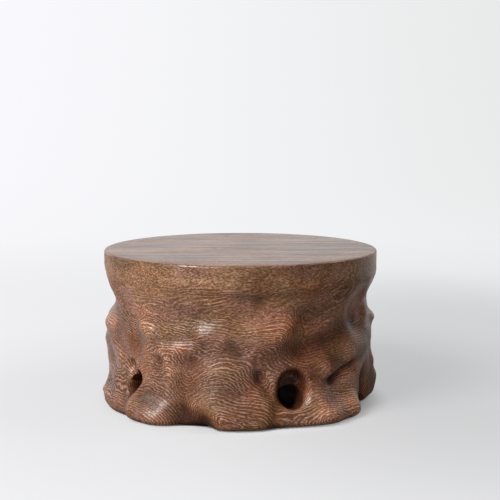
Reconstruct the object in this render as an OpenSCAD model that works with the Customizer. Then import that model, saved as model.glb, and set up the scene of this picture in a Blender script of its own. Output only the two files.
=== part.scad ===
// Chinese hardwood stand: a carved stump with a flat round top, for a pot or a stone.
// The block is glued up from a front and a rear billet that meet on an upright seam, four dowels
// line the glue joint up, the underside is hollowed out and felt pads lie under the feet.
// Millimetres, +Z up, the front towards -Y, the origin on the table under the middle of the top.

/* [Block] */
// Width of the flat top
top_d = 120; // [116:0.5:130]
// Overall height, felt pads included
stand_h = 67.5; // [66:0.5:76]
// How far the plain body lies inside the rim
waist_in = 3.2; // [2.4:0.1:4]
// Strength of the carved relief, 1 is as carved
relief = 1; // [0.8:0.05:1.1]
// Small round on the top edge
edge_round = 0.8; // [0.4:0.1:1.5]
// Round under the outer edge of the feet
sole_round = 1.3; // [0.6:0.1:1.8]

/* [Hollow and holes] */
// Width of the hollow at the base
hollow_d = 68; // [60:1:70]
// Height of the hollow above the soles
hollow_h = 38; // [32:1:40]
// Radius of the passage behind the large front hole
wide_hole_r = 5.1; // [4.4:0.1:5.6]
// Radius of the passage behind the small front hole
slim_hole_r = 2.95; // [2.6:0.05:3.4]
// Radius of the passages behind the two rear holes
rear_hole_r = 4.6; // [3.8:0.1:5]

/* [Glue joint] */
// Where the seam between the billets lies, in front of the middle
seam_front = 7.4; // [7:0.1:7.8]
// Diameter of the dowels
dowel_d = 8; // [6:0.5:9]
// Length of the dowels
dowel_len = 28; // [22:1:30]
// Bevel at the ends of the dowels
dowel_bevel = 1; // [0.5:0.1:1.5]
// Room for glue round a dowel, on the radius
dowel_room = 0.1; // [0.05:0.05:0.2]
// Room left behind the rear end of a dowel
dowel_end_room = 0.6; // [0.3:0.1:1]
// Distance of the upper dowels inside the rim
upper_dowel_in = 34; // [30:1:38]
// Distance of the upper dowels below the top
upper_dowel_drop = 14.5; // [12:0.5:16]
// Distance of the lower dowels inside the rim
lower_dowel_in = 19; // [17:0.5:21]
// Height of the lower dowels above the soles
lower_dowel_h = 21; // [18:0.5:24]

/* [Felt pads] */
// Diameter of a pad
pad_d = 10; // [7:0.5:11]
// Thickness of a pad
pad_t = 1.2; // [1:0.1:2]
// How deep a pad sits in its seat
pad_sink = 0.7; // [0.4:0.1:0.8]
// Room round a pad in its seat, on the radius
pad_room = 0.15; // [0.05:0.05:0.3]
// Distance of the middle of the pads inside the rim
pad_in = 14; // [13:0.5:17]

/* [Hidden] */

// the soles of the block stand off the table by what the pads show
lift = pad_t - pad_sink;
block_h = stand_h - lift;
rim_r = top_d / 2;
body_r = rim_r - waist_in;
upper_dowel_x = rim_r - upper_dowel_in;
lower_dowel_x = rim_r - lower_dowel_in;
pad_reach = rim_r - pad_in;
// the carving below is set out on a block of these two sizes and stretches with the real one
carved_h = 67;
carved_r = 60;
tall = block_h / carved_h;
wide = rim_r / carved_r;
// height at which the body begins to widen to the rim, and over which it does
neck_low = 43;
neck_rise = 16;
// height at which the relief has died out below the rim, and over which it does
relief_end = 61;
relief_fade = 7;
// height of the round under the soles
sole_round_h = 2.2;
// steps round the block, rows up it and how much closer the rows lie near the top
turn_step = 3;
rows = 36;
row_crowding = 1.15;
// how far a cut reaches past the wood
past = 5;
// feet that carry a pad: turn from the front, positive to the right
foot_turns = [-40, 2, 53, 122, 163, 243];

wood = [0.45, 0.29, 0.20];
dowel_wood = [0.80, 0.66, 0.46];
felt = [0.16, 0.10, 0.08];

// Each stroke of the gouge runs from one place to another on the unrolled wall:
// [turn, height, turn, height, half width on its left, half width on its right,
//  rise at its start, rise at its end (a cut if negative), 2 for a soft edge to 6 for a crisp one]
left_flank = [
    [-98, 51, -80, 50, 8, 8, -3.4, -3, 2],
    [-72, 58, -60, 46, 3, 3, 0.9, 0.9, 2],
    [-96, 37, -70, 36, 3.8, 4, 2.8, 2, 2],
    [-96, 29.5, -80, 28, 3.4, 6, 3.2, 3, 2],
    [-78, 35, -62, 23, 3.5, 5, 1.6, 1.6, 2],
    [-92, 18, -66, 7, 9, 9, 2, 1.6, 4]];
right_flank = [
    [98, 48.5, 76, 48.5, 6, 6, -1.8, -1.4, 2],
    [60, 46, 64, 41, 7.6, 7.4, -1.9, -2.3, 4],
    [92, 33, 92, 20, 6, 6, 1.7, 1.5, 4],
    [96, 36.4, 87, 36.4, 2.4, 2.8, 1.7, 1.5, 2],
    [90, 15, 92, 10, 5, 5, 1.6, 1.8, 2]];
// groove under the rim, neck, valley by the left knob, knob, ledge, brow and the hollows under them
upper_front = [
    [-34, 57.5, 8, 52.5, 3, 3, -0.6, -0.6, 2],
    [8, 52.5, 46, 57.5, 3, 3, -0.5, -0.5, 2],
    [-34, 47.5, 16, 46, 6, 5, -0.3, -0.9, 2],
    [-52, 40, -47, 31, 5, 5, -0.7, -1, 2],
    [-43, 38.5, -40, 37.5, 3.6, 3.4, 2, 2, 2],
    [-33, 30.5, -21, 32.8, 3, 5.5, 2, 1.7, 2],
    [-15, 38.5, -7, 37.5, 3.6, 4, 1.4, 1.2, 2],
    [-24, 27.5, -19, 28, 4, 4, -0.5, -0.5, 2],
    [-19.5, 27, -20, 16, 3.4, 3.4, -0.9, -0.8, 2]];
// broad nose that comes forward as it goes down, notch, slanting bulge, pit and valley to the hole
middle_root = [
    [-10.5, 34, -11, 8, 9, 8.5, 0.4, 2.8, 2],
    [-3.5, 34.5, 0, 31, 2.8, 2.8, -1, -0.9, 2],
    [-3, 25, 19, 41, 7, 6, 1.2, 1.9, 2],
    [7.6, 22.2, 8, 21.4, 2.4, 2.4, -1.8, -1.8, 2],
    [9, 19, 15, 8, 3, 2.6, -1.8, -1.6, 2],
    [13, 5, 14, 0.5, 3.5, 3.5, -1.2, -2.2, 2]];
// pillar right of the small hole, pit and bulge beside it, hollow between the feet
left_root = [
    [-42, 31, -41, 17, 4, 4, 0.9, 0.9, 2],
    [-35.2, 27, -34.8, 26, 2.4, 2.6, -1.7, -1.7, 2],
    [-29.5, 22.4, -29, 20, 4.5, 4.5, 1.4, 1.4, 2],
    [-25, 18, -24, 7, 4, 4, -1.2, -1.6, 2],
    [-23, 1, -15, 1.5, 6, 6, -2.6, -4.2, 2]];
// trough, rib with its sharp lower edge, undercut, cheek and pillar
right_root = [
    [27, 43, 24, 33, 8, 6, -1.5, -1.4, 2],
    [57, 39, 27, 30, 6, 6, -2, -2.6, 2],
    [82, 28, 52, 24.8, 2, 6.5, 1.4, 2, 2],
    [52, 24.8, 40, 21.2, 2, 6, 1, 2, 2],
    [38, 21.5, 31, 18, 5, 5, 0.9, 0.9, 2],
    [54, 22.3, 41.5, 17, 2, 2, -2.2, -2.8, 2],
    [44, 17.5, 56, 19.5, 3.5, 3.5, -0.8, -0.4, 2],
    [33, 19.5, 35.5, 5, 5, 5.5, -1.8, 4.6, 2]];
feet = [
    [-84, 2, -60, 1, 7, 7, 3.4, 3.4, 4],
    [-46.5, 3.5, -36, 1.5, 6.5, 6.5, 7.2, 6, 2.5],
    [-6, 3, 9, 3, 9, 8, 3, 3, 2],
    [28, 1, 40, 2, 6, 6, 2.4, 2, 2],
    [43, 2.5, 54, 2.5, 6, 6, 4, 5.2, 3],
    [95, 8, 92, 4, 6, 6, 3.6, 3.6, 2],
    [-96, 1.5, -94, 1.5, 5, 5, 6.6, 6.6, 2],
    [73.5, 11, 73.5, 4, 6, 6, -4.5, -5.5, 2],
    [120, 6, 124, 4, 9, 9, 2.8, 2.8, 4],
    [160, 4, 166, 4, 9, 9, 2.8, 2.8, 4],
    [205, 4, 212, 4, 9, 9, 2.8, 2.8, 4],
    [240, 5, 244, 4, 8, 8, 2.8, 2.8, 4]];
back = [
    [118, 40, 140, 30, 7, 4, 1.4, 2.6, 2],
    [130, 47, 165, 45, 8, 6, -1.4, -2.6, 2],
    [150, 36, 152, 12, 8, 8, 1, 3.2, 2],
    [178, 38, 186, 30, 6, 3.5, 2, 1.4, 2],
    [196, 38, 192, 12, 9, 8, 0.8, 3.4, 2],
    [172, 24, 170, 10, 4, 4, -2.4, -2, 2],
    [215, 46, 240, 42, 8, 6, -1.6, -2.8, 2],
    [214, 30, 232, 22, 6, 3, 1.6, 2.4, 2],
    [252, 38, 244, 28, 6, 6, 2.4, 1.6, 2]];
hole_mouths = [
    [22.6, 16.6, 22.6, 14.4, 6.7, 6.7, -6.2, -7.5, 6],
    [-48.6, 17.4, -53, 11, 2.4, 2.4, -11, -11, 4],
    [-53.4, 21.4, -53, 20.6, 2.8, 2.8, -2.6, -2.6, 3],
    [136, 24, 138, 18, 6, 6, -10, -10, 4],
    [228, 22, 226, 16.5, 5, 5, -9, -9, 4]];
strokes = concat(left_flank, right_flank, upper_front, middle_root, left_root, right_root, feet, back,
    hole_mouths);

// Arches between the feet: [turn, reach to the left, reach to the right, height]
arches = [
    [-15, 9, 6, 1],
    [73, 6, 7, 4],
    [105, 8, 8, 3.5],
    [142, 9, 9, 3],
    [185, 8, 8, 3.5],
    [226, 8, 8, 3]];

// Passages behind the holes: [turn, distance from the middle, height]
wide_passage = [[23.2, 56, 12], [23.2, 50, 11.2], [23, 44, 10.2], [22.6, 38, 9.2], [22, 29, 8]];
slim_passage = [[-51, 56, 15], [-51, 51, 14.5], [-50, 45, 13], [-48, 38, 11.5], [-45, 29, 10]];
rear_right_passage = [[137, 56, 21], [137, 50, 20.5], [138, 44, 19], [139, 38, 17], [141.3, 28, 13.3]];
rear_left_passage = [[227, 56, 19], [227, 50, 18.2], [226, 44, 17.5], [224, 38, 16], [220.8, 28, 12.4]];

function clamp01(v) = min(1, max(0, v));
function ease(v) = let (c = clamp01(v)) c * c * (3 - 2 * c);
function turn_between(a, b) = let (d = (a - b) % 360) d > 180 ? d - 360 : (d < -180 ? d + 360 : d);

// what a stroke adds at a place of the unrolled wall: the gap is the distance to its line, the half
// width goes from the right one to the left one with the sine of the angle to the stroke
function stroke_rise(a, h, s) =
    let (da = turn_between(a, s[0]), dh = h - s[1], ua = s[2] - s[0], uh = s[3] - s[1],
        t = clamp01((da * ua + dh * uh) / (ua * ua + uh * uh)),
        oa = da - t * ua, oh = dh - t * uh, gap = norm([oa, oh]),
        lean = gap > 0 ? (ua * oh - uh * oa) / (norm([ua, uh]) * gap) : 0,
        half = s[5] + (s[4] - s[5]) * (1 + lean) / 2)
    (s[6] + (s[7] - s[6]) * t) * exp(-pow(gap / half, s[8]));
function carved(a, h, i = 0, sum = 0) = i == len(strokes) ? sum :
    carved(a, h, i + 1, sum + stroke_rise(a, h, strokes[i]));
// height of the lower edge of the block
function arch_at(a, arch) = let (d = turn_between(a, arch[0]), q = d < 0 ? -d / arch[1] : d / arch[2])
    arch[3] * max(0, 1 - q * q);
function sole_at(a) = max([for (arch = arches) arch_at(a, arch)]);
// radius of the carved wall at a turn and a height on the block as it was set out
function wall_at(a, h) =
    let (plain = body_r + (rim_r - body_r) * ease((h - neck_low) / neck_rise),
        fade = clamp01((relief_end - h) / relief_fade),
        tuck = clamp01(1 - (h - sole_at(a)) / sole_round_h), edge = max(0, h - carved_h + edge_round),
        rounded = edge_round - sqrt(max(0, edge_round * edge_round - edge * edge)))
    plain + wide * relief * fade * carved(a, h) - sole_round * tuck * tuck - rounded;

// place on the block at a turn from the front
function spot(a, r, z) = [r * sin(a), -r * cos(a), z];

// the whole carved block before it is split, hollowed and drilled
module carved_block() {
    turns = [for (a = [-180 : turn_step : 180 - turn_step]) a];
    n = len(turns);
    inner_r = hollow_d / 2 - past;
    wall = [for (k = [0 : rows]) for (a = turns)
        let (low = sole_at(a), h = low + (carved_h - low) * (1 - pow(1 - k / rows, row_crowding)))
        spot(a, wall_at(a, h), lift + h * tall)];
    inner = [for (a = turns) spot(a, inner_r, lift + sole_at(a) * tall)];
    points = concat(inner, wall, [[0, 0, lift], [0, 0, stand_h]]);
    sides = [for (k = [0 : rows]) for (i = [0 : n - 1])
        let (j = (i + 1) % n) each [
            [k * n + i, (k + 1) * n + i, (k + 1) * n + j],
            [k * n + i, (k + 1) * n + j, k * n + j]]];
    last = (rows + 1) * n;
    base = [for (i = [0 : n - 1]) [i, (i + 1) % n, last + n]];
    top = [for (i = [0 : n - 1]) [last + (i + 1) % n, last + i, last + n + 1]];
    polyhedron(points, concat(sides, base, top));
}

// dome under the stand
module hollow() {
    translate([0, 0, lift])
        rotate_extrude($fn = 50)
            intersection() {
                scale([hollow_d / 2, hollow_h])
                    circle(r = 1, $fn = 46);
                translate([0, -past])
                    square([hollow_d, hollow_h + 2 * past]);
            }
}

// passage of one radius through its places
module passage(places, r) {
    for (i = [0 : len(places) - 2])
        hull()
            for (p = [places[i], places[i + 1]])
                translate(spot(p[0], p[1] * wide, lift + p[2] * tall))
                    sphere(r = r, $fn = 14);
}

// middles of the dowels across the seam: [x, z]
dowel_spots = [
    [-upper_dowel_x, stand_h - upper_dowel_drop], [upper_dowel_x, stand_h - upper_dowel_drop],
    [-lower_dowel_x, lift + lower_dowel_h], [lower_dowel_x, lift + lower_dowel_h]];

// a round bar along Y from one depth to another
module bar(at, front_y, rear_y, r) {
    translate([at[0], front_y, at[1]])
        rotate([-90, 0, 0])
            cylinder(r = r, h = rear_y - front_y, $fn = 32);
}

// what is drilled and cut out of the block before the glue-up
module cut_outs(front) {
    half = dowel_len / 2;
    hollow();
    for (at = dowel_spots)
        if (front)
            bar(at, -seam_front - half, -seam_front + past, dowel_d / 2 + dowel_room);
        else
            bar(at, -seam_front - past, -seam_front + half + dowel_end_room, dowel_d / 2 + dowel_room);
    for (a = foot_turns)
        translate(spot(a, pad_reach, -past))
            cylinder(d = pad_d + 2 * pad_room, h = past + pad_t, $fn = 28);
}

// half space on one side of the seam
module side_of_seam(front) {
    big = 2 * top_d;
    translate([-big / 2, front ? -seam_front - big : -seam_front, -past])
        cube([big, big, stand_h + 2 * past]);
}

module front_billet() {
    color(wood)
        difference() {
            intersection() {
                carved_block();
                side_of_seam(true);
            }
            cut_outs(true);
            passage(wide_passage, wide_hole_r);
            passage(slim_passage, slim_hole_r);
        }
}

module rear_billet() {
    color(wood)
        difference() {
            intersection() {
                carved_block();
                side_of_seam(false);
            }
            cut_outs(false);
            passage(rear_right_passage, rear_hole_r);
            passage(rear_left_passage, rear_hole_r);
        }
}

// dowel with bevelled ends, its front end on the bottom of its socket
module dowel(at) {
    r = dowel_d / 2;
    color(dowel_wood)
        translate([at[0], -seam_front - dowel_len / 2, at[1]])
            rotate([-90, 0, 0])
                rotate_extrude($fn = 48)
                    polygon([[0, 0], [r - dowel_bevel, 0], [r, dowel_bevel], [r, dowel_len - dowel_bevel],
                        [r - dowel_bevel, dowel_len], [0, dowel_len]]);
}

// felt disc, its upper face on the roof of its seat
module pad(a) {
    color(felt)
        translate(spot(a, pad_reach, 0))
            cylinder(d = pad_d, h = pad_t, $fn = 48);
}

front_billet();
rear_billet();
dowel(dowel_spots[0]);  // dowel_upper_left
dowel(dowel_spots[1]);  // dowel_upper_right
dowel(dowel_spots[2]);  // dowel_lower_left
dowel(dowel_spots[3]);  // dowel_lower_right
pad(foot_turns[0]);  // pad_front_left
pad(foot_turns[1]);  // pad_front
pad(foot_turns[2]);  // pad_front_right
pad(foot_turns[3]);  // pad_rear_right
pad(foot_turns[4]);  // pad_rear
pad(foot_turns[5]);  // pad_rear_left
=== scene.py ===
import math

import bmesh
import bpy
import numpy as np
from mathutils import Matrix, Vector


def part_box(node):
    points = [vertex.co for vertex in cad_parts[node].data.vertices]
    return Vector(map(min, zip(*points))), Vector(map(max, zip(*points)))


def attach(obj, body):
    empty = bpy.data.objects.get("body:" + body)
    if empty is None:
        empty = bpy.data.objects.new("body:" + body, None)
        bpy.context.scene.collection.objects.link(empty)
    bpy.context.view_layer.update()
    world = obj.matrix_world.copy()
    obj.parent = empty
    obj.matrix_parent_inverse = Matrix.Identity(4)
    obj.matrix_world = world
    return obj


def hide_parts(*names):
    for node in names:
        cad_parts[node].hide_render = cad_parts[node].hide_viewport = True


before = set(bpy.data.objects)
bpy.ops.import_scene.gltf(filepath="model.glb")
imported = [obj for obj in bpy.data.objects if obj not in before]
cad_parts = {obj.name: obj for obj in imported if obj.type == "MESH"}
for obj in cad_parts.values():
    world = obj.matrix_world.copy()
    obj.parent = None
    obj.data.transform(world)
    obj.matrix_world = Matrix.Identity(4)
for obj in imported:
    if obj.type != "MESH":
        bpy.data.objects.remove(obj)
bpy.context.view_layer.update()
scene = bpy.context.scene
scene.view_settings.view_transform = "Standard"


# Viewpoint: a short telephoto half a metre in front of the stand and some 60 mm above its top.
# The picture is taken as 500 x 500 with the lens axis through its middle.
picture = 500
focal_pixels = 1152
view_distance = 0.507
view_height = 0.130
view_side = 0.0042
view_pitch = math.radians(7.15)

lens = bpy.data.cameras.new("viewpoint")
lens.sensor_width = 36
lens.lens = focal_pixels / picture * lens.sensor_width
lens.clip_start = 0.01
viewpoint = bpy.data.objects.new("viewpoint", lens)
viewpoint.location = (view_side, -view_distance, view_height)
viewpoint.rotation_euler = (math.pi / 2 - view_pitch, 0, 0)
scene.collection.objects.link(viewpoint)
scene.camera = viewpoint


# Studio table: one pale sheet that runs back from the stand and sweeps up behind it,
# so that no edge shows between the table and the wall.
def sweep_sheet(half_width, near, far, bend, rise):
    """Sheet carried along X: flat from near to far, a quarter circle of radius bend, then upright to rise."""
    bend_steps = 25
    columns = 9
    arc = np.linspace(0, math.pi / 2, bend_steps)
    depth = np.concatenate([[near], far + bend * np.sin(arc), [far + bend]])
    height = np.concatenate([[0.0], bend * (1 - np.cos(arc)), [rise]])
    across = np.linspace(-half_width, half_width, columns)
    x, d = np.meshgrid(across, depth)
    z = np.repeat(height[:, None], len(across), 1)
    return np.stack([x, d, z], -1)


def grid_faces(rows, columns, wrap=False):
    """Quads between neighbouring rows and columns of a grid, the last column joined to the first on wrap."""
    i, j = np.meshgrid(np.arange(rows - 1), np.arange(columns if wrap else columns - 1), indexing="ij")
    k = (j + 1) % columns
    corners = [i * columns + j, i * columns + k, (i + 1) * columns + k, (i + 1) * columns + j]
    return np.stack(corners, -1).reshape(-1, 4)


def put_mesh(name, points, faces):
    """New smooth object from whole arrays of points and faces."""
    mesh = bpy.data.meshes.new(name)
    mesh.from_pydata(np.asarray(points).reshape(-1, 3).tolist(), [], [list(f) for f in faces])
    mesh.update()
    mesh.polygons.foreach_set("use_smooth", np.ones(len(mesh.polygons), bool))
    piece = bpy.data.objects.new(name, mesh)
    scene.collection.objects.link(piece)
    return piece


sheet_points = sweep_sheet(half_width=6.0, near=-6.0, far=1.2, bend=0.6, rise=3.0)
table = put_mesh("studio_table", sheet_points, grid_faces(*sheet_points.shape[:2]))


class Wire:
    """A socket of a node tree. + - * between wires and numbers add Math nodes."""

    def __init__(self, tree, socket=None):
        self.tree = tree
        self.socket = socket

    def node(self, kind, settings=None, values=None, output=0):
        """Add a node: its type, its settings, then the values or links of its sockets; gives one output."""
        made = self.tree.nodes.new(kind)
        for key, value in (settings or {}).items():
            setattr(made, key, value)
        for key, value in (values or {}).items():
            if isinstance(value, Wire):
                self.tree.links.new(value.socket, made.inputs[key])
            else:
                made.inputs[key].default_value = value
        return Wire(self.tree, made.outputs[output])

    def feed(self, socket):
        """Link this wire to an input socket."""
        self.tree.links.new(self.socket, socket)

    def math(self, operation, *terms):
        """Math node on this wire and further terms."""
        return self.node("ShaderNodeMath", {"operation": operation}, dict(enumerate((self, *terms))))

    def __add__(self, other):
        return self.math("ADD", other)

    def __radd__(self, other):
        return self.math("ADD", other)

    def __sub__(self, other):
        return self.math("SUBTRACT", other)

    def __rsub__(self, other):
        return self.node("ShaderNodeMath", {"operation": "SUBTRACT"}, {0: other, 1: self})

    def __mul__(self, other):
        return self.math("MULTIPLY", other)

    def vector(self, operation, *terms, output=0):
        """Vector Math node on this wire and further terms."""
        values = dict(enumerate((self, *terms)))
        return self.node("ShaderNodeVectorMath", {"operation": operation}, values, output)

    def scaled(self, factor):
        """This vector or colour times a number."""
        return self.node("ShaderNodeVectorMath", {"operation": "SCALE"}, {0: self, "Scale": factor})

    def axis(self, name):
        """One component of this vector."""
        return self.node("ShaderNodeSeparateXYZ", values={0: self}, output=name)

    def mix(self, low, high, blend="MIX"):
        """Colour that goes from low to high with this wire, or low blended with high in another way."""
        return self.node("ShaderNodeMix", {"data_type": "RGBA", "blend_type": blend},
                         {"Factor": self, 6: low, 7: high}, 2)

    def bump(self, shader, strength, distance):
        """Use this wire as the height of a shader's surface."""
        values = {"Strength": strength, "Distance": distance, "Height": self}
        self.node("ShaderNodeBump", values=values).feed(shader.inputs["Normal"])

    def step(self, low, high):
        """Smooth rise from 0 at low to 1 at high."""
        return self.node("ShaderNodeMapRange", {"interpolation_type": "SMOOTHSTEP"},
                         {"Value": self, "From Min": low, "From Max": high})

    def noise(self, size, detail=2.0, rough=0.5, twist=0.0):
        """Noise in -0.5 to 0.5 on a millimetre vector, its grain size in millimetres along X, Y and Z."""
        return self.node("ShaderNodeTexNoise", {"noise_dimensions": "3D"},
                         {"Vector": self.vector("DIVIDE", size), "Scale": 1.0, "Detail": detail,
                          "Roughness": rough, "Distortion": twist}) - 0.5


def new_material(name):
    """New node material: returns the material, its Principled shader and a wire to build on."""
    material = bpy.data.materials.new(name)
    material.use_nodes = True
    tree = material.node_tree
    shader = tree.nodes["Principled BSDF"]
    return material, shader, Wire(tree)


# the lens sees the paper glow, with painted shade that darkens it to the right, and the true shadow kept near
# the stand;
# to the light that bounces off it the sheet is mid grey, so that the shaded side stays dark
paper, paper_shader, wire = new_material("pale_sheet")
paper_shader.inputs["Roughness"].default_value = 0.8
paper_shader.inputs["Specular IOR Level"].default_value = 0.1
lens_white = (0.93, 0.92, 0.925, 1)
bounce_grey = (0.35, 0.34, 0.34, 1)
gloss_grey = (0.10, 0.10, 0.10, 1)
glow_left = (0.955, 0.95, 0.985, 1)
glow_right = (0.80, 0.82, 0.815, 1)
shade_middle = (0.12, 0.08, 0)
shade_reach = (0.16, 0.32, 1.0)
place = wire.node("ShaderNodeTexCoord", output="Object")
side = place.axis("X")
depth = place.axis("Y")
away = place.vector("LENGTH", output="Value")
rays = wire.node("ShaderNodeLightPath", output="Is Camera Ray")
seen = rays.math("MAXIMUM", wire.node("ShaderNodeLightPath", output="Is Glossy Ray"))
paper_colour = (seen - rays).mix(bounce_grey, gloss_grey)
# the lens sees the paper white, but mid grey under the stand, where it looks in through the holes: painted
# shade
paper_colour = (rays * away.step(0.036, 0.052)).mix(paper_colour, lens_white)
paper_colour.feed(paper_shader.inputs["Base Color"])
# painted shadow on the glow: an oval patch right of and behind the stand, and painted shade close round it
dim = place.vector("SUBTRACT", shade_middle).vector("DIVIDE", shade_reach).vector("LENGTH", output="Value")
painted_floor_shade = (dim.step(0.35, 1.15) * 0.22 + 0.78) * (away.step(0.06, 0.22) * 0.11 + 0.89)
glow = side.step(-0.6, 0.7).mix(glow_left, glow_right).scaled(painted_floor_shade)
glow = wire.node("ShaderNodeEmission", values={"Color": glow, "Strength": 1.0})

# how much of the glow the lens sees, and how much shows in the gloss: the sheet behind the stand and on its
# left, but not the floor under it
share = rays * (away.step(0.05, 0.068) * 0.8 + away.step(0.12, 0.7) * 0.2)
near = 1 - depth.step(0.35, 0.9)
behind = 0.70 + depth.step(0.5, 1.5) * 0.2 - side.step(0.02, 0.3) * (1 - depth.step(0.08, 0.35)) * 0.5
behind = depth.step(-0.03, 0.12) * (behind - (0 - side).step(0.0, 0.1) * near * 0.40)
left = (0 - side).step(-0.12, 0.02) * (0.9 - (0 - side).step(0.06, 0.25) * 0.65) * away.step(0.06, 0.085)
share = share + (seen - rays) * behind.math("MAXIMUM", left)
lit_paper = Wire(wire.tree, paper_shader.outputs[0])
mixed = wire.node("ShaderNodeMixShader", values={0: share, 1: lit_paper, 2: glow})
mixed.feed(wire.tree.nodes["Material Output"].inputs["Surface"])
table.data.materials.append(paper)


# Lamps: a wide soft box high on the left gives the light, and a weaker one on the right fills the shade
# without showing in the gloss. A white card beside the first shows in the gloss alone. The room is dim,
# and pale where the lens sees past the sheet.
room_tint = (1.0, 0.98, 0.97, 1)
wall_tint = (0.92, 0.92, 0.94, 1)
room = bpy.data.worlds.new("pale_room")
room.use_nodes = True
room_nodes = room.node_tree.nodes
room_nodes["Background"].inputs["Color"].default_value = room_tint
room_nodes["Background"].inputs["Strength"].default_value = 0.08
wire = Wire(room.node_tree)
pale_wall = wire.node("ShaderNodeBackground", values={"Color": wall_tint})
dim_room = Wire(room.node_tree, room_nodes["Background"].outputs[0])
camera_ray = wire.node("ShaderNodeLightPath", output="Is Camera Ray")
backdrop = wire.node("ShaderNodeMixShader", values={0: camera_ray, 1: dim_room, 2: pale_wall})
backdrop.feed(room_nodes["World Output"].inputs["Surface"])
scene.world = room


def soft_box(name, turn, rise, distance, size, watts):
    """Square area lamp that faces the stand, by its turn from the front, rise and distance."""
    aim_height = 0.03
    lamp = bpy.data.lights.new(name, "AREA")
    lamp.shape = "SQUARE"
    lamp.size = size
    lamp.energy = watts
    holder = bpy.data.objects.new(name, lamp)
    turn, rise = math.radians(turn), math.radians(rise)
    holder.location = (distance * math.sin(turn) * math.cos(rise),
                       -distance * math.cos(turn) * math.cos(rise),
                       aim_height + distance * math.sin(rise))
    holder.rotation_euler = (math.pi / 2 - rise, 0, turn)
    scene.collection.objects.link(holder)
    return holder


soft_box("box_left", turn=-43, rise=35, distance=1.1, size=0.5, watts=12.8)
box_right = soft_box("box_right", turn=88, rise=44, distance=1.2, size=0.5, watts=3.2)
box_right.visible_glossy = False
card_left = soft_box("card_left", turn=-42, rise=33, distance=1.1, size=0.7, watts=9.0)
card_left.visible_diffuse = False


# Carved block: chicken-wing wood carved like the stump of a tree, with a flat round top, a waist, root-like
# ridges and spreading feet. It is pierced by four holes, gouged hollow underneath, and glued up from a front
# and a rear billet.
mm = 0.001
overall_height = 67.5
sole_gap = 0.5
block_height = overall_height - sole_gap
rim_radius = 60.0
body_radius = 56.8
set_out_height = 67.0
neck_low = 43
neck_rise = 16
relief_end = 61
relief_fade = 7
hollow_radius = 34.0
hollow_height = 38.0
seam_front = 7.4
top_edge_round = 0.8
sole_round = 1.3
sole_round_height = 2.2

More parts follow.
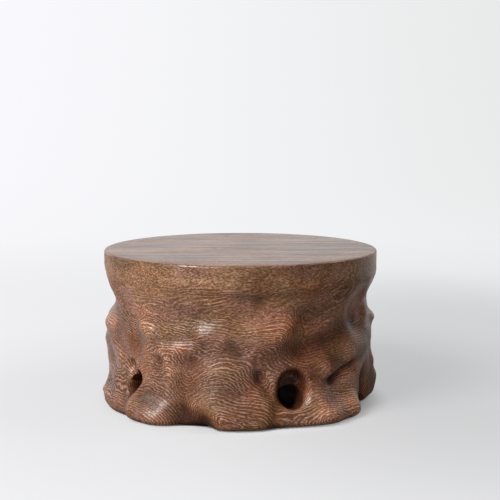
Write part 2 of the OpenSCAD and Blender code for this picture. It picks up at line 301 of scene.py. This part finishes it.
# strokes of the gouge on the unrolled wall: turn, height, turn, height, half width on the left and on the
# right of the way it runs, rise (cut if negative) at its start and at its end, softness
gouge_strokes = np.array([
    # left flank: neck, post, two knobs on the outline, edge below them, plain wall
    (-98, 51, -80, 50, 8, 8, -3.4, -3.0, 2), (-72, 58, -60, 46, 3, 3, 0.9, 0.9, 2),
    (-96, 37, -70, 36, 3.8, 4, 2.8, 2.0, 2), (-96, 29.5, -80, 28, 3.4, 6, 3.2, 3.0, 2),
    (-78, 35, -62, 23, 3.5, 5, 1.6, 1.6, 2), (-92, 18, -66, 7, 9, 9, 2.0, 1.6, 4),
    # right flank: neck, pale scoop under the rim, shelf with a small knob on the outline
    (98, 48.5, 76, 48.5, 6, 6, -1.8, -1.4, 2), (60, 46, 64, 41, 7.6, 7.4, -1.9, -2.3, 4),
    (92, 33, 92, 20, 6, 6, 1.7, 1.5, 4),
    (96, 36.4, 87, 36.4, 2.4, 2.8, 1.7, 1.5, 2), (90, 15, 92, 10, 5, 5, 1.6, 1.8, 2),
    # upper front: groove under the rim, neck, valley by the left knob, stippled knob, ledge with a sharp
    # brink, brow, hollow under the ledge, valley left of the middle root
    (-34, 57.5, 8, 52.5, 3, 3, -0.6, -0.6, 2), (8, 52.5, 46, 57.5, 3, 3, -0.5, -0.5, 2),
    (-34, 47.5, 16, 46, 6, 5, -0.3, -0.9, 2), (-52, 40, -47, 31, 5, 5, -0.7, -1.0, 2),
    (-43, 38.5, -40, 37.5, 3.6, 3.4, 2.0, 2.0, 2), (-33, 30.5, -21, 32.8, 3, 5.5, 2.0, 1.7, 2),
    (-15, 38.5, -7, 37.5, 3.6, 4, 1.4, 1.2, 2),
    (-24, 27.5, -19, 28, 4, 4, -0.5, -0.5, 2), (-19.5, 27, -20, 16, 3.4, 3.4, -0.9, -0.8, 2),
    # middle root: broad nose that comes forward as it goes down, notch, slanting bulge, pit, valley to hole
    (-10.5, 34, -11, 8, 9, 8.5, 0.4, 2.8, 2), (-3.5, 34.5, 0, 31, 2.8, 2.8, -1.0, -0.9, 2),
    (-3, 25, 19, 41, 7, 6, 1.2, 1.9, 2), (7.6, 22.2, 8, 21.4, 2.4, 2.4, -1.8, -1.8, 2),
    (9, 19, 15, 8, 3, 2.6, -1.8, -1.6, 2), (13, 5, 14, 0.5, 3.5, 3.5, -1.2, -2.2, 2),
    # pillar right of the small hole, pit and bulge beside it, hollow down to the arch
    (-42, 31, -41, 17, 4, 4, 0.9, 0.9, 2), (-35.2, 27, -34.8, 26, 2.4, 2.6, -1.7, -1.7, 2),
    (-29.5, 22.4, -29, 20, 4.5, 4.5, 1.4, 1.4, 2), (-25, 18, -24, 7, 4, 4, -1.2, -1.6, 2),
    (-23, 1, -15, 1.5, 6, 6, -2.6, -4.2, 2),
    # right front: left end of the trough, trough, rib with its sharp lower edge, undercut, cheek, pillar
    (27, 43, 24, 33, 8, 6, -1.5, -1.4, 2), (57, 39, 27, 30, 6, 6, -2.0, -2.6, 2),
    (82, 28, 52, 24.8, 2, 6.5, 1.4, 2.0, 2), (52, 24.8, 40, 21.2, 2, 6, 1.0, 2.0, 2),
    (38, 21.5, 31, 18, 5, 5, 0.9, 0.9, 2),
    (54, 22.3, 41.5, 17, 2.0, 2.0, -2.2, -2.8, 2), (44, 17.5, 56, 19.5, 3.5, 3.5, -0.8, -0.4, 2),
    (33, 19.5, 35.5, 5, 5, 5.5, -1.8, 4.6, 2),
    # feet
    (-84, 2, -60, 1, 7, 7, 3.4, 3.4, 4), (-46.5, 3.5, -36, 1.5, 6.5, 6.5, 7.2, 6.0, 2.5),
    (-6, 3, 9, 3, 9, 8, 3.0, 3.0, 2), (28, 1, 40, 2, 6, 6, 2.4, 2.0, 2),
    (43, 2.5, 54, 2.5, 6, 6, 4.0, 5.2, 3), (95, 8, 92, 4, 6, 6, 3.6, 3.6, 2),
    (-96, 1.5, -94, 1.5, 5, 5, 6.6, 6.6, 2), (73.5, 11, 73.5, 4, 6, 6, -4.5, -5.5, 2),
    (120, 6, 124, 4, 9, 9, 2.8, 2.8, 4), (160, 4, 166, 4, 9, 9, 2.8, 2.8, 4),
    (205, 4, 212, 4, 9, 9, 2.8, 2.8, 4), (240, 5, 244, 4, 8, 8, 2.8, 2.8, 4),
    # back
    (118, 40, 140, 30, 7, 4, 1.4, 2.6, 2), (130, 47, 165, 45, 8, 6, -1.4, -2.6, 2),
    (150, 36, 152, 12, 8, 8, 1.0, 3.2, 2), (178, 38, 186, 30, 6, 3.5, 2.0, 1.4, 2),
    (196, 38, 192, 12, 9, 8, 0.8, 3.4, 2), (172, 24, 170, 10, 4, 4, -2.4, -2.0, 2),
    (215, 46, 240, 42, 8, 6, -1.6, -2.8, 2), (214, 30, 232, 22, 6, 3, 1.6, 2.4, 2),
    (252, 38, 244, 28, 6, 6, 2.4, 1.6, 2),
])
# mouths of the holes, given as strokes too: large front hole, slit hole and the pit over it, two rear holes
hole_mouths = np.array([
    (22.6, 16.6, 22.6, 14.4, 6.7, 6.7, -6.2, -7.5, 6),
    (-48.6, 17.4, -53, 11, 2.4, 2.4, -11, -11, 4), (-53.4, 21.4, -53, 20.6, 2.8, 2.8, -2.6, -2.6, 3),
    (136, 24, 138, 18, 6, 6, -10, -10, 4), (228, 22, 226, 16.5, 5, 5, -9, -9, 4),
])
# arches between the feet: turn, reach to the left, reach to the right, height
foot_arches = np.array([
    (-15, 9, 6, 1.0), (73, 6, 7, 4), (105, 8, 8, 3.5), (142, 9, 9, 3), (185, 8, 8, 3.5), (226, 8, 8, 3),
])


def turn_between(turn, start):
    """Turn from start, in degrees, brought into -180 to 180."""
    return (turn - start + 180) % 360 - 180


def carved_relief(turn, height, strokes):
    """Sum over the strokes of rise x exp(-(d / half width) ^ softness), d the distance to the stroke's line.

    The rise runs evenly from its start to its end. The half width goes from the one on the right to the one
    on the left with the sine of the angle to the stroke. Beyond three half widths a stroke is left out.
    """
    turn, height = np.broadcast_arrays(turn, height)
    total = np.zeros(turn.shape)
    for turn0, height0, turn1, height1, left, right, rise0, rise1, soft in strokes:
        along, up = turn1 - turn0, height1 - height0
        reach = 3 * max(left, right)
        near = np.abs(turn_between(turn, (turn0 + turn1) / 2)) < abs(along) / 2 + reach
        near &= np.abs(height - (height0 + height1) / 2) < abs(up) / 2 + reach
        da = turn_between(turn[near], turn0)
        dh = height[near] - height0
        share = np.clip((da * along + dh * up) / (along * along + up * up), 0, 1)
        off_a, off_h = da - share * along, dh - share * up
        gap = np.hypot(off_a, off_h)
        lean = (along * off_h - up * off_a) / (math.hypot(along, up) * np.maximum(gap, 1e-9))
        half = right + (left - right) * (0.5 + 0.5 * lean)
        total[near] += (rise0 + (rise1 - rise0) * share) * np.exp(-(gap / half) ** soft)
    return total


def sole_height(turn):
    """Height of the lower edge: each arch is a parabola over its reach, the highest one counts."""
    top = np.zeros(np.shape(turn))
    for middle, left, right, high in foot_arches:
        d = turn_between(turn, middle)
        q = np.where(d < 0, -d / left, d / right)
        top = np.maximum(top, high * np.clip(1 - q * q, 0, None))
    return top


def knife_waves(turn, height):
    """Uneven hand work: a sum of sines that cross at many angles, each with whole waves round the block."""
    wave_count = 22
    fewest_around = 12
    most_around = 46
    steepest = 0.7
    wave_depth = 0.9
    draw = np.random.default_rng(7)
    arounds = draw.integers(fewest_around, most_around, wave_count)
    upwards = draw.uniform(-steepest, steepest, wave_count)
    phases = draw.uniform(0, 6.28, wave_count)
    total = np.zeros(np.broadcast(turn, height).shape)
    for around, upward, phase in zip(arounds, upwards, phases):
        total += wave_depth / (8 + around) * np.sin(np.radians(turn) * around + upward * height + phase)
    return total


def sanded_relief(turn, height):
    """Mean of the relief here and a little to each side, as sandpaper leaves it, plus the crisp hole mouths.

    The reach to each side grows over the feet.
    """
    sanding_reach = 1.0
    added_at_foot = 1.8
    foot_height = 14
    reach = sanding_reach + added_at_foot * np.clip(1 - height / foot_height, 0, 1)
    total = carved_relief(turn, height, gouge_strokes)
    for across, up in ((1, 0), (-1, 0), (0, 1), (0, -1)):
        total += carved_relief(turn + across * reach, height + up * reach, gouge_strokes)
    return total / 5 + carved_relief(turn, height, hole_mouths)


def wall_radius(turn, height):
    """Plain body easing out to the rim, plus the relief, less the rounds at the sole and at the top edge."""
    ease = np.clip((height - neck_low) / neck_rise, 0, 1)
    ease = ease * ease * (3 - 2 * ease)
    fade = np.clip((relief_end - height) / relief_fade, 0, 1)
    tuck = np.clip(1 - (height - sole_height(turn)) / sole_round_height, 0, 1)
    edge = np.clip(height - set_out_height + top_edge_round, 0, top_edge_round)
    rounded = top_edge_round - np.sqrt(top_edge_round ** 2 - edge ** 2)
    plain = body_radius + (rim_radius - body_radius) * ease
    relief = sanded_relief(turn, height) + knife_waves(turn, height)
    return plain + fade * relief - sole_round * tuck ** 2 - rounded


def block_rings(turns):
    """Rings of the closed block from the dome of the hollow, over the soles and up the wall, to the top face.

    Each ring is a function of the turn: the dome is half an ellipse, the sole runs straight from the dome to
    the wall, the wall has the carved radius at each height, and the top shrinks to the middle. The rings of
    the wall crowd a little towards the top.
    """
    dome_start = 0.04
    dome_rings = 26
    flat_rings = 10
    wall_rings = 220
    crowding = 1.12
    low = sole_height(turns)
    rings = []
    for v in np.linspace(dome_start, 1, dome_rings):
        swing = v * (math.pi / 2 - np.arcsin(low / hollow_height))
        rings.append((hollow_radius * np.sin(swing), hollow_height * np.cos(swing)))
    inner = rings[-1][0]
    outer = wall_radius(turns, low)
    for v in np.linspace(0, 1, flat_rings)[1:-1]:
        rings.append((inner + (outer - inner) * v, low))
    for v in np.linspace(0, 1, wall_rings):
        height = low + (set_out_height - low) * (1 - (1 - v) ** crowding)
        rings.append((wall_radius(turns, height), height))
    edge = rings[-1][0]
    for v in np.linspace(0, 1, flat_rings)[1:-1]:
        rings.append(((1 - v) * edge, np.full_like(turns, set_out_height)))
    radius = np.array([r for r, h in rings])
    height = np.array([h for r, h in rings]) * block_height / set_out_height
    swing = np.radians(turns)
    return np.stack([radius * np.sin(swing), -radius * np.cos(swing), sole_gap + height], -1)


def closed_rings(name, rings, first_tip, last_tip):
    """Closed surface in millimetres: rings joined by quads, first and last ring drawn to a tip by a fan."""
    count, around = rings.shape[:2]
    here = np.arange(around)
    onward = (here + 1) % around
    last, tip = (count - 1) * around, count * around
    faces = grid_faces(count, around, wrap=True).tolist()
    faces += np.stack([np.full(around, tip), onward, here], -1).tolist()
    faces += np.stack([np.full(around, tip + 1), last + here, last + onward], -1).tolist()
    piece = put_mesh(name, np.concatenate([rings.reshape(-1, 3), [first_tip, last_tip]]) * mm, faces)
    shell = bmesh.new()
    shell.from_mesh(piece.data)
    bmesh.ops.recalc_face_normals(shell, faces=shell.faces)
    shell.to_mesh(piece.data)
    shell.free()
    return piece


# finer steps on the front, in degrees
front_step = 0.5
back_step = 0.8
wall_turns = np.concatenate([np.arange(-100, 100, front_step), np.arange(100, 260, back_step)])
dome_top = (0, 0, sole_gap + hollow_height)
block = closed_rings("whole_block", block_rings(wall_turns), dome_top, (0, 0, overall_height))


def round_bar(name, path, radius, sides=40):
    """Round bar along a path in millimetres: one circle square to the path at each point, flat ends."""
    nearly_upright = 0.9
    path = np.asarray(path, float)
    ahead = np.gradient(path, axis=0)
    ahead /= np.linalg.norm(ahead, axis=1, keepdims=True)
    helper = np.where(np.abs(ahead[:, 2:]) > nearly_upright, [[1.0, 0, 0]], [[0, 0, 1.0]])
    across = np.cross(ahead, helper)
    across /= np.linalg.norm(across, axis=1, keepdims=True)
    up = np.cross(across, ahead)
    swing = np.linspace(0, 2 * math.pi, sides, endpoint=False)[None, :, None]
    reach = np.broadcast_to(radius, len(path))[:, None, None]
    rings = path[:, None] + reach * (np.cos(swing) * across[:, None] + np.sin(swing) * up[:, None])
    return closed_rings(name, rings, path[0], path[-1])


def bent_path(places, count=28):
    """Path near places given as turn, distance from the middle and height: a cubic fitted to each axis."""
    places = np.asarray(places, float)
    swing = np.radians(places[:, 0])
    away = places[:, 1]
    knots = np.stack([away * np.sin(swing), -away * np.cos(swing), sole_gap + places[:, 2]], -1)
    at = np.linspace(0, 1, len(knots))
    fit = [np.polyfit(at, knots[:, k], 3) for k in range(3)]
    fine = np.linspace(0, 1, count)
    return np.stack([np.polyval(f, fine) for f in fit], -1)


def cut_away(piece, cutter):
    """Take one closed mesh out of another for good."""
    cut = piece.modifiers.new("cut", "BOOLEAN")
    cut.operation = "DIFFERENCE"
    cut.solver = "MANIFOLD"
    cut.object = cutter
    shape = bpy.data.meshes.new_from_object(piece.evaluated_get(bpy.context.evaluated_depsgraph_get()))
    piece.modifiers.remove(cut)
    old = piece.data
    piece.data = shape
    bpy.data.meshes.remove(old)
    bpy.data.objects.remove(cutter)


# passages behind the holes: places as turn, distance from the middle and height, then the radius
passages = [
    ([(23.2, 56, 12), (23.2, 50, 11.2), (23, 44, 10.2), (22.6, 38, 9.2), (22, 29, 8)], 5.1),
    ([(-51, 56, 15), (-51, 51, 14.5), (-50, 45, 13), (-48, 38, 11.5), (-45, 29, 10)], 2.95),
    ([(137, 56, 21), (137, 50, 20.5), (138, 44, 19), (139, 38, 17), (141.3, 27, 13.3)], 4.6),
    ([(227, 56, 19), (227, 50, 18.2), (226, 44, 17.5), (224, 38, 16), (220.8, 27, 12.4)], 4.6),
]
for places, radius in passages:
    cut_away(block, round_bar("passage", bent_path(places), radius))


# seats for the felt pads and sockets for the dowels, a little wider than what goes into them
pad_names = ("pad_front_left", "pad_front", "pad_front_right", "pad_rear_right", "pad_rear", "pad_rear_left")
dowel_names = ("dowel_upper_left", "dowel_upper_right", "dowel_lower_left", "dowel_lower_right")
pad_room = 0.15
dowel_room = 0.1
dowel_end_room = 0.6
below_sole = -1.0
for node in pad_names:
    low, high = np.array(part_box(node)) / mm
    middle = (low + high) / 2
    path = np.stack([np.full(2, middle[0]), np.full(2, middle[1]), [below_sole, high[2]]], -1)
    cut_away(block, round_bar("seat", path, (high[0] - low[0]) / 2 + pad_room))
for node in dowel_names:
    low, high = np.array(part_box(node)) / mm
    middle = (low + high) / 2
    path = np.stack([np.full(2, middle[0]), [low[1], high[1] + dowel_end_room], np.full(2, middle[2])], -1)
    cut_away(block, round_bar("socket", path, (high[0] - low[0]) / 2 + dowel_room))


def billet(name, source, front):
    """One side of the seam: the block cut by an upright plane, the cut closed with a flat face."""
    sharp_angle = math.radians(50)
    half = bmesh.new()
    half.from_mesh(source.data)
    cut = bmesh.ops.bisect_plane(half, geom=half.verts[:] + half.edges[:] + half.faces[:], dist=1e-7,
                                 plane_co=(0, -seam_front * mm, 0), plane_no=(0, 1 if front else -1, 0),
                                 clear_outer=True)
    edges = [e for e in cut["geom_cut"] if isinstance(e, bmesh.types.BMEdge)]
    bmesh.ops.triangle_fill(half, use_beauty=True, edges=edges)
    bmesh.ops.recalc_face_normals(half, faces=half.faces)
    mesh = bpy.data.meshes.new(name)
    half.to_mesh(mesh)
    half.free()
    mesh.polygons.foreach_set("use_smooth", np.ones(len(mesh.polygons), bool))
    mesh.set_sharp_from_angle(angle=sharp_angle)
    piece = bpy.data.objects.new(name, mesh)
    scene.collection.objects.link(piece)
    return piece


top_slack = 0.05


def wall_places(piece):
    """Places of a billet's points: x, y and z in millimetres, turn from the front, height as set out."""
    spots = np.empty(len(piece.data.vertices) * 3)
    piece.data.vertices.foreach_get("co", spots)
    x, y, z = spots.reshape(-1, 3).T / mm
    return x, y, z, np.degrees(np.arctan2(x, -y)), (z - sole_gap) * set_out_height / block_height


def mark_points(piece, name, values):
    """Point attribute from one number for each point."""
    attribute = piece.data.attributes.new(name, "FLOAT", "POINT")
    attribute.data.foreach_set("value", values.astype(np.float32))


def mark_hollows(piece):
    """Point attribute 'hollow': 0 on open wood, up to 1 in the gouged cuts, in the holes and in the dome."""
    full_cut = 5
    full_inside = 2
    x, y, z, turn, height = wall_places(piece)
    cuts = np.concatenate([gouge_strokes[gouge_strokes[:, 6] < 0], hole_mouths])
    depth = np.clip(-carved_relief(turn, height, cuts) / full_cut, 0, 1)
    inside = wall_radius(turn, np.clip(height, sole_height(turn), set_out_height)) - np.hypot(x, y)
    depth = np.maximum(depth, np.clip(inside / full_inside, 0, 1))
    mark_points(piece, "hollow", np.where(z > overall_height - top_slack, 0, depth))


# painted light (positive) and painted shade (negative), given as strokes: turn, height, turn, height, half
# widths, share at the start and at the end, softness
painted_patches = np.array([
    # painted light: foot and pillar on the right, left end of the rim, neck
    (50, 15, 55, 5, 7, 7, 0.85, 1.30, 2), (33, 18, 35, 6, 4, 4, 0.35, 0.45, 2),
    (-70, 63, -78, 63, 7, 7, 0.7, 0.7, 3), (-8, 47, 20, 45, 6, 6, 0.15, 0.15, 2),
    # painted shade: brow, post and neck on the left, middle foot
    (-33, 33, -12, 36, 4, 4, -0.1, -0.1, 2), (-62, 36, -54, 30, 6, 6, -0.3, -0.3, 2),
    (-70, 50, -58, 48, 6, 6, -0.2, -0.2, 2), (-6, 6, 8, 5, 5, 5, -0.2, -0.2, 2),
    # right front: painted shade on the trough, painted light at its left end, painted shade on the rib and
    # its left end, painted sheen on the scoop
    (57, 37, 40, 33, 5, 5, -0.30, -0.2, 2), (27, 32, 28, 30, 5, 5, 0.5, 0.5, 2),
    (80, 29, 42, 25, 5, 5, -0.75, -0.60, 2), (40, 25, 31, 25.5, 4, 4, -0.3, -0.3, 2),
    (60, 46, 64, 41, 5, 5, 0.45, 0.45, 2),
    # painted shade: slanting bulge, undercut, left foot, stippled knob
    (-2, 31, 17, 31, 6, 6, -0.36, -0.30, 2), (47, 19, 41.5, 16.5, 2.2, 2.2, -0.5, -0.5, 2),
    (-44, 8, -38, 4, 4, 4, -0.14, -0.14, 2), (-44, 36, -30, 36, 5, 5, -0.12, -0.12, 2),
])


def mark_painted_light(piece):
    """Point attribute of painted light and shade: sum of the patches, plus painted light on ridges and
    painted shade in valleys.

    These are the relief less its mean on a small ring round the place.
    """
    ring_reach = 4.5
    ring_places = 6
    ridge_valley_share = 0.34
    x, y, z, turn, height = wall_places(piece)
    around = np.zeros(len(x))
    for swing in np.linspace(0, 2 * math.pi, ring_places + 1)[:-1]:
        aside = turn + ring_reach * math.cos(swing)
        above = height + ring_reach * math.sin(swing)
        around += carved_relief(aside, above, gouge_strokes) / ring_places
    # painted light on the ridges and painted shade in the valleys: the relief less its mean round the place
    ridge_light_valley_shade = np.clip(carved_relief(turn, height, gouge_strokes) - around, -1, 1)
    ridge_light_valley_shade = np.where(z > overall_height - top_slack, 0, ridge_valley_share * ridge_light_valley_shade)
    mark_points(piece, "painted_light_shade", carved_relief(turn, height, painted_patches) + ridge_light_valley_shade)


front_billet = billet("carved_front", block, True)
rear_billet = billet("carved_rear", block, False)
bpy.data.objects.remove(block)


def millimetre_place(wire):
    """Object coordinates in millimetres."""
    return wire.node("ShaderNodeTexCoord", output="Object").scaled(1 / mm)


def timber(name, seed, heart):
    """Chicken-wing wood: thin light and dark layers round an upright heart.

    On slopes the carving cuts the layers into contour lines; where it follows a layer only flecks show.
    Cuts and the inside are painted with shade, redder where shallow and darker deeper in.
    """
    dip = 0.36
    fine_period = 0.40
    coarse_period = 0.85
    line_sharpness = 2.8
    swirl_place = (-52, -23, 13)
    line_brown = (0.54, 0.288, 0.198, 1)
    line_gold = (0.54, 0.300, 0.168, 1)
    line_rust = (0.52, 0.205, 0.080, 1)
    ground_brown = (0.138, 0.054, 0.028, 1)
    ground_gold = (0.128, 0.056, 0.021, 1)
    ground_rust = (0.150, 0.042, 0.015, 1)
    # tints of the painted shade in the cuts and the inside
    red_shade_tint = (1.0, 0.80, 0.58, 1)
    dark_shade_tint = (0.40, 0.32, 0.32, 1)
    material, shader, wire = new_material(name)
    place = millimetre_place(wire)
    upward = place.axis("Z")
    grain = place.vector("ADD", (seed, 0, 0))

    # layers: distance from the heart, leaning below the neck, drifting and waved; one swirl on the left post
    spoke = place.vector("MULTIPLY_ADD", (1, 1, 0), (-heart[0], -heart[1], 0))
    ring = spoke.vector("LENGTH", output="Value")
    lean = wire.node("ShaderNodeCombineXYZ", values={"Z": (upward.step(42, 52) - 1) * dip})
    outward = spoke.vector("NORMALIZE").vector("ADD", lean).vector("NORMALIZE")
    facing = wire.node("ShaderNodeNewGeometry", output="Normal")
    along = facing.vector("DOT_PRODUCT", outward, output="Value")
    slope = 1 - along * along
    drift = grain.noise((40, 30, 20), 2)
    wave = grain.noise((10, 8, 6), 2)
    strand = grain.noise((4.5, 3, 0.9), 2)
    swirl = 1 - place.vector("DISTANCE", swirl_place, output="Value").step(6, 14)
    layer = ring - upward.math("SMOOTH_MIN", 47, 8) * dip + drift * 4.0 + wave * 0.8 + strand * 0.6
    layer = layer + swirl * grain.noise((9, 7, 7), 1) * 5.0

    # light lines: fine on gentle cuts, coarse on steep ones, broken, bolder in places and weaker where shade
    # is painted
    lines = slope.step(0.0, 0.05) * 0.75 + 0.25
    fine = (layer * (2 * math.pi / fine_period)).math("SINE")
    coarse = (layer * (2 * math.pi / coarse_period)).math("SINE")
    steep = slope.step(0.16, 0.36).math("MAXIMUM", swirl)
    stripe = ((fine + (coarse - fine) * steep) * 0.5 + 0.5).math("POWER", line_sharpness)
    fleck = grain.noise((1.1, 0.7, 0.38), 2)
    broken = grain.noise((5, 3.5, 1.5), 2).step(-0.2, 0.12)
    bold = grain.noise((24, 17, 12), 2).step(-0.2, 0.16)
    # painted light and shade from the patches, ridges and valleys
    painted_light_shade = wire.node("ShaderNodeAttribute", {"attribute_name": "painted_light_shade"}, output="Fac")
    depth = lines * (broken * 0.75 + 0.25) * (bold * 0.85 + 0.25) * (1 - upward.step(36, 48) * 0.35) + 0.04
    depth = (depth * (1 - (0 - painted_light_shade).step(0.1, 0.4) * 0.6)).math("MAXIMUM", swirl * 0.9)
    tone = (stripe * (fleck * 2.4 + 1) - 0.31) * depth + fleck * (2.0 - lines * 0.7) + 0.365
    tone = tone.step(0.0, 1.0)

    # colour of the lines and of the ground between them, each with golden and rusty places
    golden = (grain.noise((22, 14, 12), 3) * 5.0 + upward.step(46, 56) * 0.5 + 0.35).step(0.0, 1.2)
    rusty = grain.noise((16, 12, 10), 3, 0.6).step(0.0, 0.22) * 0.7
    light = golden.mix(line_brown, line_gold)
    light = rusty.mix(light, line_rust)
    dark = golden.mix(ground_brown, ground_gold)
    dark = rusty.mix(dark, ground_rust)

    # shade: dull places, darker feet, a thin dark glue line along the seam, the painted light and shade of
    # the patches, painted shade in the cuts
    from_seam = (place.axis("Y") + seam_front).math("ABSOLUTE")
    shade = grain.noise((27, 19, 15), 3).step(-0.24, 0.2) * 0.64 + 0.70
    shade = shade * (upward.step(2, 50) * 0.22 + 0.78 - upward.step(50, 56) * 0.1)
    shade = shade * (from_seam.step(0.1, 0.3) * 0.4 + 0.6) * (painted_light_shade + 1)
    hollow = wire.node("ShaderNodeAttribute", {"attribute_name": "hollow"}, output="Fac")
    colour = tone.mix(dark, light).scaled(shade)
    # painted shade in the cuts, holes and the inside: redder where shallow, darker where deep
    colour = (hollow.step(0.04, 0.3) * 0.7).mix(colour, red_shade_tint, "MULTIPLY")
    colour = hollow.step(0.12, 0.8).mix(colour, dark_shade_tint, "MULTIPLY")
    colour.feed(shader.inputs["Base Color"])

    # wax: long streaks on the top, elsewhere on the light lines, less of it where shade is painted and at the
    # feet
    foot = 1 - upward.step(0, 22)
    level = facing.axis("Z").step(0.9, 0.99) * upward.step(60, 66)
    streak = grain.noise((50, 4, 4), 4, 0.65)
    waxed = (0.8 - (0 - painted_light_shade).step(0.04, 0.2) * 0.5) * (1 - foot * 0.5)
    polish = level * (streak * 2.2 + 0.4).step(0.0, 1.0) + (1 - level) * tone.step(0.25, 0.85) * waxed
    polish.feed(shader.inputs["Coat Weight"])
    (0.36 - tone * 0.12 + fleck * 0.1 + foot * 0.08).feed(shader.inputs["Roughness"])
    shader.inputs["Specular IOR Level"].default_value = 0.26
    shader.inputs["Coat Roughness"].default_value = 0.27
    uneven = (tone + grain.noise((5, 4, 3), 2) * 2.0) * (1 - level)
    uneven.bump(shader, strength=0.4, distance=0.00018)
    return material


front_billet.data.materials.append(timber("front_timber", seed=0.0, heart=(3, 4)))
rear_billet.data.materials.append(timber("rear_timber", seed=137.0, heart=(-2, 1)))
for piece, node in ((front_billet, "front_billet"), (rear_billet, "rear_billet")):
    mark_hollows(piece)
    mark_painted_light(piece)
    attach(piece, "root")
    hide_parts(node)


# Dowels: four short pegs of light hardwood across the glue joint, grooved along their length so that spare
# glue can escape, with bevelled ends. They sit in drilled sockets and are glued in.
dowel_bevel = 1.0
flutes = 14
flute_depth = 0.28
points_per_flute = 8


def fluted_peg(name, low, high):
    """Peg along Y between two corners: a circle with shallow flutes, drawn in over a bevel at the ends."""
    middle = (low + high) / 2
    reach = (high[0] - low[0]) / 2
    length = high[1] - low[1]
    ends = np.linspace(0, dowel_bevel, 5)
    between = np.linspace(dowel_bevel, length - dowel_bevel, 8)[1:-1]
    at = np.concatenate([ends, between, length - ends[::-1]])
    inset = np.clip(dowel_bevel - np.minimum(at, length - at), 0, None)
    swing = np.linspace(0, 2 * math.pi, flutes * points_per_flute, endpoint=False)
    groove = flute_depth * np.clip(np.cos(flutes * swing), 0, 1) ** 2
    radius = reach - groove[None, :] - inset[:, None]
    rings = np.stack([middle[0] + radius * np.cos(swing), np.repeat(low[1] + at[:, None], len(swing), 1),
                      middle[2] + radius * np.sin(swing)], -1)
    return closed_rings(name, rings, (middle[0], low[1], middle[2]), (middle[0], high[1], middle[2]))


dark_streak = (0.44, 0.28, 0.14, 1)
light_streak = (0.66, 0.48, 0.28, 1)
pale_peg, shader, wire = new_material("pale_peg")
grain = millimetre_place(wire)
streak = grain.noise((0.5, 9, 0.5), 3) * 1.6 + grain.noise((0.15, 1.2, 0.15), 1) * 0.8 + 0.5
streak = streak.step(0.0, 1.0)
streak.mix(dark_streak, light_streak).feed(shader.inputs["Base Color"])
(0.72 - streak * 0.14).feed(shader.inputs["Roughness"])
streak.bump(shader, strength=0.3, distance=0.0001)
for node in dowel_names:
    low, high = np.array(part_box(node)) / mm
    peg = fluted_peg(node.replace("dowel", "peg"), low, high)
    peg.data.set_sharp_from_angle(angle=math.radians(40))
    peg.data.materials.append(pale_peg)
    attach(peg, "root")
    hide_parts(node)


# Felt pads: six thin discs of dark wool felt, punched out and glued into shallow seats under the feet.
# Their lower edge is worn a little round and the surface is matted and uneven.
def felt_disc(name, low, high, seed):
    """Disc between two corners: flat top, upright edge and rounded lower edge, waved by a few sines."""
    sides = 72
    worn = 0.4
    top_bevel = 0.1
    waviness = 0.05
    middle = (low + high) / 2
    reach = (high[0] - low[0]) / 2
    thick = high[2] - low[2]
    swing = np.linspace(0, 2 * math.pi, sides, endpoint=False)
    bend = np.linspace(0, math.pi / 2, 6)
    inner = np.linspace(0.08, 1, 9)[:-1] * (reach - worn)
    rounded = reach - worn + worn * np.sin(bend)
    radius = np.concatenate([inner, rounded, [reach, reach - top_bevel], inner[::-1]])
    height = np.concatenate([np.zeros(len(inner)), worn - worn * np.cos(bend), [thick - top_bevel, thick],
                             np.full(len(inner), thick)])
    ragged = np.sin(7 * swing + seed) + np.sin(17 * swing + 2 * seed) + np.sin(31 * swing + 5 * seed)
    ragged = waviness * (ragged - 3)
    spread = radius[:, None] + ragged * (radius[:, None] / reach) ** 4
    rings = np.stack([middle[0] + spread * np.cos(swing), middle[1] + spread * np.sin(swing),
                      np.repeat(low[2] + height[:, None], len(swing), 1)], -1)
    return closed_rings(name, rings, (middle[0], middle[1], low[2]), (middle[0], middle[1], high[2]))


deep_fibre = (0.012, 0.006, 0.004, 1)
loose_fibre = (0.045, 0.024, 0.017, 1)
dark_felt, shader, wire = new_material("dark_felt")
fibre = millimetre_place(wire)
matted = fibre.noise((0.35, 0.35, 0.2), 3, 0.7, twist=1.5) * 2.2 + fibre.noise((2.5, 2.5, 2), 2) + 0.5
matted = matted.step(0.0, 1.0)
matted.mix(deep_fibre, loose_fibre).feed(shader.inputs["Base Color"])
shader.inputs["Roughness"].default_value = 0.95
shader.inputs["Specular IOR Level"].default_value = 0.2
matted.bump(shader, strength=0.7, distance=0.0002)
for seed, node in enumerate(pad_names):
    low, high = np.array(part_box(node)) / mm
    disc = felt_disc(node.replace("pad", "felt"), low, high, 1.7 * seed)
    disc.data.materials.append(dark_felt)
    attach(disc, "root")
    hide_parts(node)
